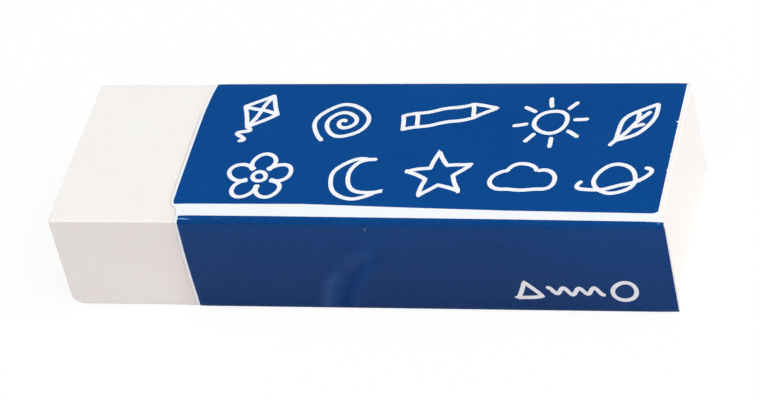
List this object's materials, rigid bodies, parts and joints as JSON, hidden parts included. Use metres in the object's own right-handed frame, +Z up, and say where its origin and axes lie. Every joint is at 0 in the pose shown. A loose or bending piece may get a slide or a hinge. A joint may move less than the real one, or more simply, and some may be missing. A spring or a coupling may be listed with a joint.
{
  "type": "rubber eraser",
  "caption": "Block eraser of white vinyl in a folded, glued card sleeve that slides along it, with one end of the block bare.",
  "frame": {"origin": "middle of the flat bottom of the sleeve, on the surface that the eraser rests on", "axes": "+X along the block from its bare end to its covered end, +Y across it towards the glued seam, +Z up"},
  "size_m": [0.06, 0.0206, 0.0114],
  "materials": {
    "vinyl": "soft matt white vinyl",
    "printed_card": "white card printed blue and varnished glossy"
  },
  "bodies": {
    "sleeve": {"card_sleeve": "printed_card"},
    "block": {"eraser_block": "vinyl"}
  },
  "joints": [
    {"name": "block_slide", "type": "slide", "parent": "sleeve", "child": "block", "axis": [1, 0, 0], "range_m": [-0.0425, 0.055]}
  ]
}
